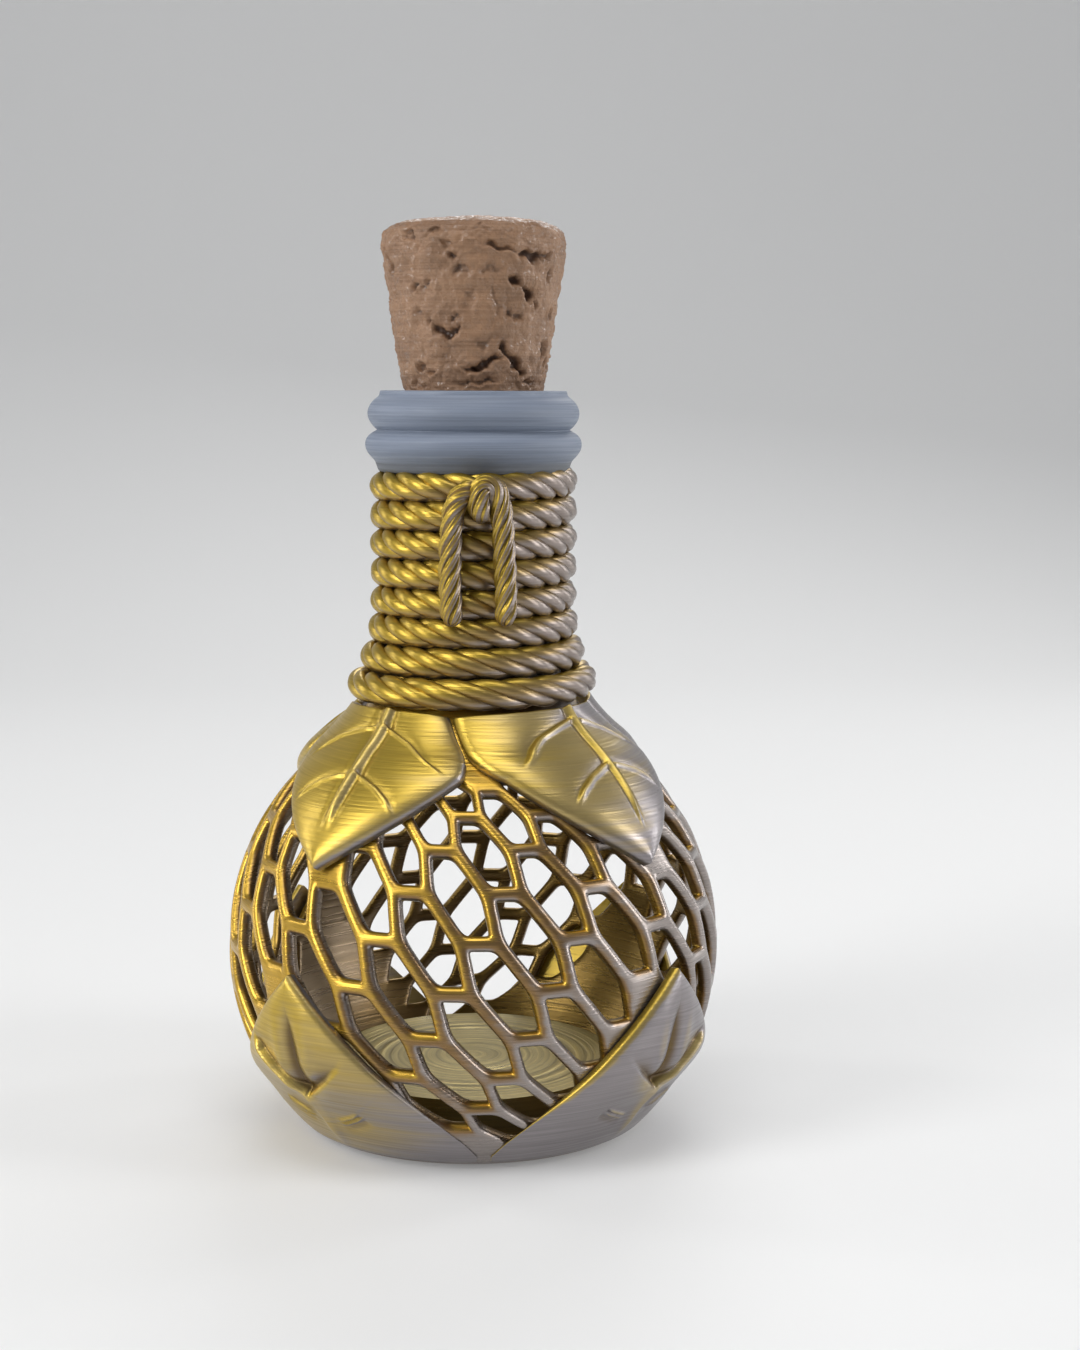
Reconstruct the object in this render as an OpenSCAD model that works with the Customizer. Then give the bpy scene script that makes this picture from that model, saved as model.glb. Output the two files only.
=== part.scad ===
// Potion bottle with a pierced honeycomb globe, leaves, a rope-wound neck and a cork.
// The front faces -Y, +X is to the right, and the table is at z = 0.

/* [Globe] */
// Outside radius of the honeycomb globe
globe_r = 40; // [37:0.5:44]
// Thickness of the globe, shoulder and neck wall
globe_wall = 2.2; // [1.6:0.1:3]
// How much of the globe's underside is cut off flat to stand on
globe_flat = 10.6; // [8:0.2:13]

/* [Honeycomb] */
// Number of openings in one row all round
cells_around = 16; // [12:4:20]
// Width of a strut between two openings at the globe's middle
strut_w = 2.4; // [1.4:0.1:2.8]
// How far an opening's corners are cut off
corner_cut = 1.4; // [0.4:0.1:1.8]
// Height above the globe's centre of the point that the rows are projected from
aim_h = 12; // [6:0.5:16]
// Turn in degrees from one row to the next
row_twist = 5; // [0:0.5:8]

/* [Foot] */
// Thickness of the closed foot
foot_h = 3.2; // [2:0.1:5]
// How far the foot's flat face is set in from the globe's round
foot_edge = 1.7; // [0.8:0.1:3]
// Width of the channel between the raised floor and the wall
floor_channel = 4; // [2:0.1:8]
// Height of the raised floor above the foot
floor_h = 6.2; // [3:0.1:8]

/* [Neck] */
// Height of the neck's top above the globe's centre
neck_h = 77.5; // [74:0.5:90]
// Radius of the hollow curve from the globe to the neck
shoulder_r = 30; // [24:0.5:36]

/* [Lip collar] */
// Height of the collar
collar_h = 11.8; // [10:0.1:14]
// Radius of the plain band at the collar's bottom and groove
collar_band_r = 15.9; // [14.5:0.1:17]
// How far the lower bead stands out from the band
lower_bead_out = 1.5; // [0.6:0.1:2.2]
// How far the upper bead stands out from the band
upper_bead_out = 1.1; // [0.4:0.1:2]

/* [Cork] */
// Radius of the cork where it enters the lip
cork_mouth_r = 11; // [10.4:0.1:11.6]
// Radius of the cork at its widest, near the top
cork_top_r = 14.6; // [13:0.1:16]
// Height of the cork above the lip
cork_show_h = 27; // [18:0.5:36]
// Depth of the cork below the lip's top
cork_depth = 14; // [8:0.5:18]
// Radius of the cork's rounded top edge
cork_edge_r = 3; // [1:0.2:5]
// Play between the cork and the bore round it
cork_play = 0.2; // [0.1:0.05:0.5]

/* [Rope] */
// Number of times that the rope crosses the front
rope_turns = 8; // [5:1:9]
// Diameter of the rope round the neck
rope_d = 4.5; // [3.6:0.1:4.6]
// Height from one turn to the next
rope_pitch = 4.55; // [4.5:0.05:5]
// Diameter of the thinner rope of the tie
tie_d = 3.4; // [2.4:0.1:3.6]
// Distance of each leg of the tie from the middle
tie_x = 3.9; // [3.9:0.1:6]
// Height of the tie's straight legs
tie_h = 20; // [12:0.2:22]

/* [Leaves] */
// Thickness of a leaf at its edge
leaf_edge_t = 1; // [0.8:0.1:1.6]
// Extra thickness of an upper leaf at its crown
upper_crown = 1.7; // [0.4:0.1:2.2]
// Extra thickness of a lower leaf at its crown
lower_crown = 1; // [0.4:0.1:2]
// Depth of the groove on each side of a leaf's midrib
groove_depth = 0.7; // [0:0.1:0.8]
// How far a leaf's tip lifts off the globe
tip_lift = 0.7; // [0:0.1:1.6]
// Latitude of the upper leaves' tips in degrees
upper_tip_lat = 25.5; // [20:0.5:34]
// Latitude of the lower leaves' tips in degrees
lower_tip_lat = 3.4; // [-6:0.2:8]

/* [Hidden] */
$fn = 96;

// Clearances and angles that every piece shares
cut_over = 1;
seat_gap = 0.3;
quarter = 90;
full_turn = 360;

// Finishes
silk_gold = "#b9a04a";
silk_bronze = "#a08a5c";
leaf_gold = "#c2b070";
rope_gold = "#ab9655";
slate_grey = "#7d8796";
cork_brown = "#96705a";
floor_pale = "#c9bf86";

// Bore: the cork's own taper, carried down through the collar to the neck
cork_slope = (cork_top_r - cork_mouth_r) / (cork_show_h - cork_edge_r);
mouth_bore_r = cork_mouth_r + cork_play;
neck_bore_r = mouth_bore_r - cork_slope * collar_h;
neck_r = neck_bore_r + globe_wall;

// Outline: the globe's circle runs into a hollow arc, and the arc into the straight neck
globe_inner_r = globe_r - globe_wall;
globe_centre_h = globe_r - globe_flat;
hollow_r = neck_r + shoulder_r;
hollow_z = globe_centre_h + sqrt(pow(globe_r + shoulder_r, 2) - pow(hollow_r, 2));
join_lat = asin((hollow_z - globe_centre_h) / (globe_r + shoulder_r));
join_z = globe_centre_h + globe_r * sin(join_lat);
neck_top_z = globe_centre_h + neck_h;
lip_top_z = neck_top_z + collar_h;
foot_flat_r = sqrt(pow(globe_r, 2) - pow(globe_centre_h, 2)) - foot_edge;
foot_inner_r = sqrt(pow(globe_inner_r, 2) - pow(globe_centre_h - foot_h, 2));

// Point of the outline at a run of s along it from the equator, moved out by off
deg_per_rad = 180 / PI;
join_s = globe_r * join_lat / deg_per_rad;
function run_of(lat) = globe_r * lat / deg_per_rad;
function lat_of(s) = s / globe_r * deg_per_rad;
function hollow_angle(s) = join_lat - (s - join_s) / shoulder_r * deg_per_rad;
function outline_r(s, off) = s < join_s
    ? (globe_r + off) * cos(lat_of(s))
    : hollow_r - (shoulder_r - off) * cos(hollow_angle(s));
function outline_z(s, off) = s < join_s
    ? globe_centre_h + (globe_r + off) * sin(lat_of(s))
    : hollow_z - (shoulder_r - off) * sin(hollow_angle(s));

// Point at azimuth az, counted from the front towards +X
function around(r, az, z) = [r * sin(az), -r * cos(az), z];
function unit(v) = v / norm(v);

// Leaf outlines: the half angle that a leaf covers at a latitude
leaf_half_share = 0.9867;
leaf_half = quarter / 2 * leaf_half_share;
upper_root_lat = join_lat;
lower_root_lat = -42;
lower_end_lat = -44;
upper_outline_share = 1.06;
lower_outline_share = 0.97;
function spread(x, power) = pow(max(0, min(1, x)), power);
function upper_half(lat) = leaf_half
    * spread((lat - upper_tip_lat) / (upper_root_lat - upper_tip_lat), upper_outline_share);
function lower_half(lat) = leaf_half
    * spread((lower_tip_lat - lat) / (lower_tip_lat - lower_root_lat), lower_outline_share);

// Honeycomb: rows are even on a cylinder and thrown onto the globe from a point on its axis
first_slope = 0.112;
row_slope = 0.188;
twist_gain = 0.13;
lattice_turn = 4.3;
half_column = full_turn / cells_around / 2;
half_strut_share = 0.365;
half_strut = half_column * half_strut_share;
row_reach = 9;
cage_rim = 2.1;
foot_rim = 1.1;
least_row = 1.9;
under_leaf = 7;
short_edge_share = 0.34;
strut_thin_share = 0.6;
widest_row = 1;
function row_az(row, column) = lattice_turn + column * half_column + row * row_twist
    + row * row * twist_gain;
function slope_of(row) = first_slope - row * row_slope;
function ray_r(slope) = let (grade = 1 + slope * slope, low = aim_h * slope)
    (sqrt(pow(low, 2) + grade * (pow(globe_r, 2) - pow(aim_h, 2))) - low) / grade;
function free_lat(row) = let (slope = slope_of(row), r = ray_r(slope)) atan2(aim_h + slope * r, r);
top_cell_lat = join_lat - cage_rim / globe_r * deg_per_rad;
low_cell_lat = foot_rim / globe_r * deg_per_rad - asin((globe_centre_h - foot_h) / globe_r);
function row_lat(row) = max(low_cell_lat, min(top_cell_lat, free_lat(row)));
function has_cells(row) = free_lat(row) < top_cell_lat - least_row
    && free_lat(row) > low_cell_lat + least_row;

// Struts thin out towards the top and the foot, where the rows lie closer together
function row_gap(row) = free_lat(row - 1) - free_lat(row + 1);
function strut_at(row) = strut_w * pow(row_gap(row) / row_gap(widest_row), strut_thin_share);
function on_globe(az, lat) = around(globe_r * cos(lat), az, globe_r * sin(lat));

// Corners of the opening in a row and column, and the same seen square on from outside
function cell_corners(row, column) = [
    [row_az(row - 1, column) - half_strut, row_lat(row - 1)],
    [row_az(row, column - 1) + half_strut, row_lat(row)],
    [row_az(row + 1, column) - half_strut, row_lat(row + 1)],
    [row_az(row + 1, column) + half_strut, row_lat(row + 1)],
    [row_az(row, column + 1) - half_strut, row_lat(row)],
    [row_az(row - 1, column) + half_strut, row_lat(row - 1)]];
function flat_corner(point, az, lat) = [
    point * [cos(az), sin(az), 0],
    point * [-sin(lat) * sin(az), sin(lat) * cos(az), cos(lat)]];
function edge_dir(points, i) = unit(points[(i + 1) % len(points)] - points[i % len(points)]);
function inward(v) = [-v[1], v[0]];
function inset(points, d) = let (last = len(points) - 1) [for (i = [0:last])
    let (a = inward(edge_dir(points, i + last)), b = inward(edge_dir(points, i)))
    points[i] + d * (a + b) / (1 + a * b)];
function cut_corners(points, c) = let (count = len(points)) [for (i = [0:count - 1])
    let (before = points[(i + count - 1) % count] - points[i], after = points[(i + 1) % count] - points[i])
    each [
        points[i] + unit(before) * min(c, norm(before) * short_edge_share),
        points[i] + unit(after) * min(c, norm(after) * short_edge_share)]];

// An opening is cut where it clears the leaves, or reaches only a little under one
function from_leaf(az) = abs(((az % quarter) + quarter) % quarter - quarter / 2);
function in_window(az, lat) = from_leaf(az) > upper_half(lat) - under_leaf
    && from_leaf(az) > lower_half(lat) - under_leaf;

module cell_cut(row, column) {
    az = row_az(row, column);
    lat = row_lat(row);
    corners = [for (c = cell_corners(row, column)) flat_corner(on_globe(c[0], c[1]), az, lat)];
    rotate([quarter - lat, 0, az])
        translate([0, 0, globe_inner_r - globe_wall - cut_over])
            linear_extrude(height = 2 * globe_wall + 2 * cut_over)
                polygon(cut_corners(inset(corners, strut_at(row) / 2), corner_cut));
}

module globe_cage() {
    color(silk_gold) difference() {
        translate([0, 0, globe_centre_h]) difference() {
            sphere(r = globe_r);
            sphere(r = globe_inner_r);
            for (row = [-row_reach:row_reach])
                if (has_cells(row))
                    for (column = [1 - abs(row % 2):2:2 * cells_around - 1])
                        if (in_window(row_az(row, column), row_lat(row)))
                            cell_cut(row, column);
        }
        translate([-globe_r, -globe_r, foot_h - globe_r])
            cube([2 * globe_r, 2 * globe_r, globe_r]);
        translate([-globe_r, -globe_r, join_z])
            cube([2 * globe_r, 2 * globe_r, globe_r]);
    }
}

// Foot: a slice of the globe, with its sharp lower edge turned off at a slant
slant_h = foot_edge / 2;
slant_out = sqrt(pow(globe_r, 2) - pow(globe_centre_h - slant_h, 2)) - foot_flat_r;
module foot_dish() {
    color(silk_bronze) intersection() {
        translate([0, 0, globe_centre_h]) sphere(r = globe_r);
        cylinder(r1 = foot_flat_r, r2 = foot_flat_r + slant_out * foot_h / slant_h, h = foot_h);
    }
}

module floor_plinth() {
    color(floor_pale) translate([0, 0, foot_h])
        cylinder(r = foot_inner_r - floor_channel, h = floor_h);
}

// Shoulder and neck: the hollow arc and the straight tube, turned about the axis
module neck_shoulder() {
    color(silk_bronze) rotate_extrude() {
        difference() {
            intersection() {
                translate([hollow_r, hollow_z]) circle(r = shoulder_r + globe_wall);
                translate([0, join_z]) square([hollow_r, hollow_z - join_z]);
            }
            translate([hollow_r, hollow_z]) circle(r = shoulder_r);
        }
        translate([neck_bore_r, hollow_z]) square([globe_wall, neck_top_z - hollow_z]);
    }
}

// Collar: a tapered bore in a ring with two round beads
bead_r = collar_h / 5;
lower_bead_share = 0.28;
upper_bead_share = 0.7;
rim_cut = 0.8;
module lip_collar() {
    color(slate_grey) translate([0, 0, neck_top_z]) rotate_extrude() {
        polygon([[neck_bore_r, 0], [collar_band_r, 0], [collar_band_r, collar_h - rim_cut],
            [collar_band_r - rim_cut, collar_h], [mouth_bore_r, collar_h]]);
        translate([collar_band_r + lower_bead_out - bead_r, lower_bead_share * collar_h])
            circle(r = bead_r);
        translate([collar_band_r + upper_bead_out - bead_r, upper_bead_share * collar_h])
            circle(r = bead_r);
    }
}

// Cork: a taper with a rounded top edge
cork_end_r = cork_mouth_r - cork_slope * cork_depth;
cork_end_cut = 0.7;
module cork_stopper() {
    color(cork_brown) translate([0, 0, lip_top_z]) rotate_extrude() {
        polygon([[0, -cork_depth], [cork_end_r - cork_end_cut, -cork_depth],
            [cork_end_r, cork_end_cut - cork_depth], [cork_top_r, cork_show_h - cork_edge_r],
            [cork_top_r - cork_edge_r, cork_show_h], [0, cork_show_h]]);
        translate([cork_top_r - cork_edge_r, cork_show_h - cork_edge_r]) circle(r = cork_edge_r);
    }
}

// Closed tube along a route, given the outward direction at each of its points
function tube_ring(route, outs, i, r, sides) = let (
    last = len(route) - 1,
    along = unit(route[min(last, i + 1)] - route[max(0, i - 1)]),
    across = unit(cross(along, outs[i])))
    [for (k = [0:sides - 1]) let (a = full_turn * k / sides)
        route[i] + r * (outs[i] * cos(a) + across * sin(a))];
function band_faces(rings, sides) = [for (i = [0:rings - 2], k = [0:sides - 1])
    let (a = i * sides + k, b = i * sides + (k + 1) % sides)
    each [[a, b + sides, b], [a, a + sides, b + sides]]];
module tube(route, outs, r, sides) {
    rings = len(route);
    points = [for (i = [0:rings - 1]) each tube_ring(route, outs, i, r, sides)];
    start = [[for (k = [0:sides - 1]) k]];
    end = [[for (k = [sides - 1:-1:0]) (rings - 1) * sides + k]];
    polyhedron(points, concat(start, band_faces(rings, sides), end));
}

// Winding: one rope that climbs mostly behind the neck, so that its turns lie level in front
rope_sides = 6;
rings_per_turn = 24;
level_share = 0.9;
end_az = 110;
rope_r = rope_d / 2;
rope_off = rope_r + seat_gap;
rope_flat = rope_r * cos(full_turn / rope_sides / 2);
rope_climb_share = 0.11;
rope_top_z = neck_top_z - seat_gap - rope_flat - rope_pitch * 2 * rope_climb_share;
function rope_z(az) = rope_top_z + rope_pitch
    * (az / full_turn - level_share * sin(az) / (2 * PI));

// The rope lies on the neck, then on the hollow, and on the globe where the neck is short
function join_h(off) = globe_centre_h + (globe_r + off) * sin(join_lat);
function winding_r(z, off) = z > hollow_z ? neck_r + off
    : z > join_h(off) ? hollow_r - sqrt(pow(shoulder_r - off, 2) - pow(hollow_z - z, 2))
    : sqrt(pow(globe_r + off, 2) - pow(z - globe_centre_h, 2));
first_az = -end_az - full_turn * (rope_turns - 1);
ring_count = round((end_az - first_az) / full_turn * rings_per_turn);
function ring_az(i) = first_az + (end_az - first_az) * i / ring_count;
rope_coil = [for (i = [0:ring_count])
    let (z = rope_z(ring_az(i))) around(winding_r(z, rope_off), ring_az(i), z)];
rope_route = concat(
    [rope_coil[0] + unit(rope_coil[0] - rope_coil[1]) * rope_d],
    rope_coil,
    [rope_coil[ring_count] + unit(rope_coil[ring_count] - rope_coil[ring_count - 1]) * rope_d]);
rope_outs = concat([around(1, first_az, 0)], [for (i = [0:ring_count]) around(1, ring_az(i), 0)],
    [around(1, end_az, 0)]);
rope_rings = [for (i = [0:len(rope_route) - 1]) tube_ring(rope_route, rope_outs, i, rope_r, rope_sides)];
least_gap = min([for (i = [1:ring_count + 1 - rings_per_turn], j = [-1:1], a = rope_rings[i],
    b = rope_rings[i + rings_per_turn + j]) norm(a - b)]);
echo(least_gap_between_turns = least_gap);

module neck_rope() {
    color(rope_gold) tube(rope_route, rope_outs, rope_r, rope_sides);
}

// Tie: two thinner rope ends that lie over the winding in front
tie_r = tie_d / 2;
tie_off = rope_off + rope_r + seat_gap + tie_r;
tie_bend = (tie_d + seat_gap) / 2;
tie_top_z = neck_top_z - seat_gap - tie_r - tie_bend;
tie_foot_z = tie_top_z - tie_h;
tie_tail_share = 0.8;
tie_sides = 6;
bend_steps = 8;
function tie_az(x, z) = asin(x / winding_r(z, tie_off));
function on_winding(x, z) = around(winding_r(z, tie_off), tie_az(x, z), z);
function bend_route(x, z, from_angle, to_angle, r) = [for (i = [0:bend_steps])
    let (a = from_angle + (to_angle - from_angle) * i / bend_steps) [x + r * cos(a), z + r * sin(a)]];
module tie_rope(flat_route) {
    color(rope_gold) tube([for (p = flat_route) on_winding(p[0], p[1])],
        [for (p = flat_route) around(1, tie_az(p[0], p[1]), 0)], tie_r, tie_sides);
}

// Right end: up the leg, over in a half turn, and down in a short tail
module rope_tie_right() {
    tie_rope(concat([[tie_x, tie_foot_z]],
        bend_route(tie_x - tie_bend, tie_top_z, 0, 2 * quarter, tie_bend),
        [[tie_x - 2 * tie_bend, tie_top_z - tie_tail_share * tie_d]]));
}

// Left end: up the leg, then in towards the tail, which it meets square on
module rope_tie_left() {
    reach = tie_x + tie_x - 2 * tie_bend - tie_r - seat_gap;
    bend = min(reach, tie_d);
    level = tie_top_z - bend - seat_gap;
    tie_rope(concat([[-tie_x, tie_foot_z]],
        bend_route(bend - tie_x, level, 2 * quarter, quarter, bend),
        [[reach - tie_x + seat_gap / 2, level + bend]]));
}

// Leaf: columns across as a share of its half width, and the share of the crown at each
leaf_cross_shares = [[-1, 0], [-0.94, 0.32], [-0.76, 0.74], [-0.5, 1], [-0.26, 0.98], [-0.09, 0.82],
    [0, 1.06], [0.09, 0.82], [0.26, 0.98], [0.5, 1], [0.76, 0.74], [0.94, 0.32], [1, 0]];
leaf_rows = 14;
crown_rise_share = 0.5;
tip_lean_share = 0.063;
root_swirl_share = 0.315;
swirl_lead = 3;
tip_share = 0.006;
upper_root_share = 1.15;
lower_root_share = 0.35;
groove_share = 0.09;

// Rows crowd towards the tip, where the outline turns fastest
row_crowd_share = 1.4;
lift_fall_share = 3;
crown_full_share = 0.33;
function row_share(i) = tip_share + (1 - tip_share) * pow(i / leaf_rows, row_crowd_share);
function lift_at(share) = seat_gap + tip_lift * pow(1 - share, lift_fall_share);
function groove(v) = abs(abs(v) - groove_share) < groove_share / 2 ? 1 : 0;
function leaf_out(share, column, crown, root_share) = lift_at(share)
    + (1 + (root_share - 1) * share) * (leaf_edge_t
    + crown * leaf_cross_shares[column][1] * spread(share / crown_full_share, crown_rise_share)
    - groove_depth * groove(leaf_cross_shares[column][0]));

module leaf_shell(outer, inner) {
    columns = len(leaf_cross_shares);
    count = columns * (leaf_rows + 1);
    top = [for (i = [0:leaf_rows - 1], j = [0:columns - 2]) let (a = i * columns + j)
        each [[a, a + columns, a + columns + 1], [a, a + columns + 1, a + 1]]];
    under = [for (f = top) [f[2] + count, f[1] + count, f[0] + count]];
    left = [for (i = [0:leaf_rows - 1]) let (a = i * columns)
        each [[a, a + count, a + count + columns], [a, a + count + columns, a + columns]]];
    right = [for (i = [0:leaf_rows - 1]) let (a = i * columns + columns - 1)
        each [[a, a + columns, a + count + columns], [a, a + count + columns, a + count]]];
    low = [for (j = [0:columns - 2]) each [[j, j + 1, j + 1 + count], [j, j + 1 + count, j + count]]];
    high = [for (j = [0:columns - 2]) let (a = leaf_rows * columns + j)
        each [[a, a + count, a + count + 1], [a, a + count + 1, a + 1]]];
    polyhedron(concat(outer, inner), concat(top, under, left, right, low, high));
}

// Upper leaf: tip on the globe, root under the lowest turn of rope
upper_tip_s = run_of(upper_tip_lat);
upper_root_t = seat_gap + upper_root_share * (leaf_edge_t + upper_crown);
root_swirl = leaf_half * root_swirl_share;
tip_lean = leaf_half * tip_lean_share;
tail_az = rope_d / (neck_r + rope_off) * deg_per_rad;
function root_top_z(az) = rope_z(max(az, -end_az - tail_az) - full_turn * (rope_turns - 1))
    - rope_flat - seat_gap;
function root_s(az) = let (z = root_top_z(az)) z > join_h(upper_root_t)
    ? join_s + shoulder_r / deg_per_rad * (join_lat - asin((hollow_z - z) / (shoulder_r - upper_root_t)))
    : run_of(asin((z - globe_centre_h) / (globe_r + upper_root_t)));
swirl_start_s = min(join_s, root_s(0)) - swirl_lead;
swirl_run = root_s(0) - swirl_start_s;
function upper_point(i, j, az, lean, off) = let (
    share = row_share(i),
    v = leaf_cross_shares[j][0],
    end_s = root_s(az + v * leaf_half - root_swirl * abs(v)),
    s = upper_tip_s + (end_s - upper_tip_s) * share,
    half = upper_half(lat_of(s)),
    swirl = root_swirl * max(0, (s - swirl_start_s) / swirl_run),
    turn = v * half - swirl * abs(v) + lean * tip_lean * (1 - half / leaf_half))
    around(outline_r(s, off), az + turn, outline_z(s, off));
module upper_leaf(az, lean) {
    columns = len(leaf_cross_shares) - 1;
    outer = [for (i = [0:leaf_rows], j = [0:columns])
        upper_point(i, j, az, lean, leaf_out(row_share(i), j, upper_crown, upper_root_share))];
    inner = [for (i = [0:leaf_rows], j = [0:columns])
        upper_point(i, j, az, lean, lift_at(row_share(i)))];
    color(leaf_gold) leaf_shell(outer, inner);
}

// Lower leaf: root at the foot, tip up on the globe
lower_tip_s = run_of(lower_tip_lat);
lower_end_s = run_of(lower_end_lat);
function lower_point(i, j, az, off) = let (
    share = row_share(leaf_rows - i),
    s = lower_tip_s + (lower_end_s - lower_tip_s) * share)
    around(outline_r(s, off), az + leaf_cross_shares[j][0] * lower_half(lat_of(s)), outline_z(s, off));
module lower_leaf(az) {
    columns = len(leaf_cross_shares) - 1;
    outer = [for (i = [0:leaf_rows], j = [0:columns])
        lower_point(i, j, az, leaf_out(row_share(leaf_rows - i), j, lower_crown, lower_root_share))];
    inner = [for (i = [0:leaf_rows], j = [0:columns])
        lower_point(i, j, az, lift_at(row_share(leaf_rows - i)))];
    color(leaf_gold) leaf_shell(outer, inner);
}

front_right = quarter / 2;
rear_right = 3 * quarter / 2;
module upper_leaf_front_left() { upper_leaf(-front_right, 1); }
module upper_leaf_front_right() { upper_leaf(front_right, -1); }
module upper_leaf_rear_right() { upper_leaf(rear_right, 1); }
module upper_leaf_rear_left() { upper_leaf(-rear_right, -1); }
module lower_leaf_front_left() { lower_leaf(-front_right); }
module lower_leaf_front_right() { lower_leaf(front_right); }
module lower_leaf_rear_right() { lower_leaf(rear_right); }
module lower_leaf_rear_left() { lower_leaf(-rear_right); }

globe_cage();
foot_dish();
floor_plinth();
neck_shoulder();
lip_collar();
cork_stopper();
upper_leaf_front_left();
upper_leaf_front_right();
upper_leaf_rear_right();
upper_leaf_rear_left();
lower_leaf_front_left();
lower_leaf_front_right();
lower_leaf_rear_right();
lower_leaf_rear_left();
neck_rope();
rope_tie_left();
rope_tie_right();
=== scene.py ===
import math

import bmesh
import bpy
import numpy as np
from mathutils import Matrix, Vector, noise


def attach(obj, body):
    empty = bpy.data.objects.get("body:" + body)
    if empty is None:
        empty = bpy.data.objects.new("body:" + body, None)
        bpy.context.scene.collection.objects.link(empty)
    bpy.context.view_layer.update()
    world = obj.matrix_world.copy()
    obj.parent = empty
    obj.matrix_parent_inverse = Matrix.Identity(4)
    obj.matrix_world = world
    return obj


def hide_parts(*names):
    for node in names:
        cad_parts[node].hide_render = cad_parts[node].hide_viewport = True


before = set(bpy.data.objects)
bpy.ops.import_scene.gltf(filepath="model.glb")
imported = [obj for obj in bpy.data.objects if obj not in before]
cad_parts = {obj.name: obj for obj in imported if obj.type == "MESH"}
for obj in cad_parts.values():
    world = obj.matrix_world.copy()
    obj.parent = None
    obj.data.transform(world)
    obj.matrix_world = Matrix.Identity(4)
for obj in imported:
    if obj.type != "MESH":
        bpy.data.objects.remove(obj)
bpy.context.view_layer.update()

# The imported bottle is in place now, and nothing stays selected, so that the first tool
# touches new work only.
bpy.ops.object.select_all(action="DESELECT")

# Camera: it stands at the photograph's place, level with the top of the lip, and looks
# down at the front and slightly to the right.
bpy.ops.object.camera_add(location=(-0.01794, -0.3422, 0.1193))
camera = bpy.context.object
pan = Matrix.Rotation(math.radians(-4.80), 3, "Z")
tilt = Matrix.Rotation(math.radians(82.30), 3, "X")
roll = Matrix.Rotation(math.radians(0.22), 3, "Z")
camera.rotation_euler = (pan @ tilt @ roll).to_euler()
camera.data.sensor_width = 36
camera.data.lens = 56.8
bpy.context.scene.camera = camera

# Studio: a pale sheet that lies under the bottle and sweeps up behind it, with soft lamps
# in front of it, above it and behind it, in a room of middle grey.
back_edge_y = 1.1
wall_h = 2.4
bend_r = 0.7
sheet_glow = 0.16
lamp_aim = Vector((0, 0, 0.07))


def pick_edges(piece, wanted):
    bpy.ops.mesh.select_mode(type="EDGE")
    bpy.ops.mesh.select_all(action="DESELECT")
    sheet = bmesh.from_edit_mesh(piece.data)
    for edge in sheet.edges:
        edge.select = all(wanted(corner.co) for corner in edge.verts)
    sheet.select_flush_mode()
    bmesh.update_edit_mesh(piece.data)


bpy.ops.mesh.primitive_plane_add(size=4, location=(0, -0.8, 0))
sweep = bpy.context.object
sweep.name = "studio_sweep"
bpy.ops.object.transform_apply(location=True)
bpy.ops.object.mode_set(mode="EDIT")
pick_edges(sweep, lambda place: place.y > back_edge_y)
bpy.ops.mesh.extrude_region_move(TRANSFORM_OT_translate={"value": (0, 0, wall_h)})
pick_edges(sweep, lambda place: place.y > back_edge_y and place.z < wall_h / 2)
bpy.ops.mesh.bevel(offset=bend_r, segments=20)
bpy.ops.object.mode_set(mode="OBJECT")
bpy.ops.object.shade_smooth()


# What goes into a node is a number, a colour or the output of another node
def plug(tree, node, inputs):
    for name, value in inputs.items():
        if isinstance(value, bpy.types.NodeSocket):
            tree.links.new(value, node.inputs[name])
        else:
            node.inputs[name].default_value = value


def put(tree, kind, inputs=None, **settings):
    made = tree.nodes.new(kind)
    for name, value in settings.items():
        setattr(made, name, value)
    plug(tree, made, inputs or {})
    return made


def combined(tree, how, first, second):
    return put(tree, "ShaderNodeMath", {0: first, 1: second}, operation=how).outputs[0]


def new_finish(name):
    finish = bpy.data.materials.new(name)
    finish.use_nodes = True
    return finish, finish.node_tree, finish.node_tree.nodes["Principled BSDF"]


pale_sheet, sheet_tree, sheet_face = new_finish("pale_sheet")
sheet_rays = put(sheet_tree, "ShaderNodeLightPath").outputs
sheet_seen = combined(
    sheet_tree, "ADD", sheet_rays["Is Camera Ray"], sheet_rays["Is Glossy Ray"])
plug(sheet_tree, sheet_face, {
    "Base Color": (0.66, 0.66, 0.655, 1),
    "Roughness": 0.55,
    "Emission Color": (1, 1, 1, 1),
    "Emission Strength": combined(sheet_tree, "MULTIPLY", sheet_seen, sheet_glow),
})
sweep.data.materials.append(pale_sheet)

room = bpy.context.scene.world or bpy.data.worlds.new("room")
bpy.context.scene.world = room
room.use_nodes = True
plug(room.node_tree, room.node_tree.nodes["Background"], {
    "Color": (0.42, 0.43, 0.45, 1), "Strength": 0.55,
})


def soft_lamp(name, place, width, height, power):
    bpy.ops.object.light_add(type="AREA", location=place)
    lamp = bpy.context.object
    lamp.name = name
    lamp.data.shape = "RECTANGLE"
    lamp.data.size = width
    lamp.data.size_y = height
    lamp.data.energy = power
    lamp.rotation_euler = (lamp_aim - Vector(place)).to_track_quat("-Z", "Y").to_euler()


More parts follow.
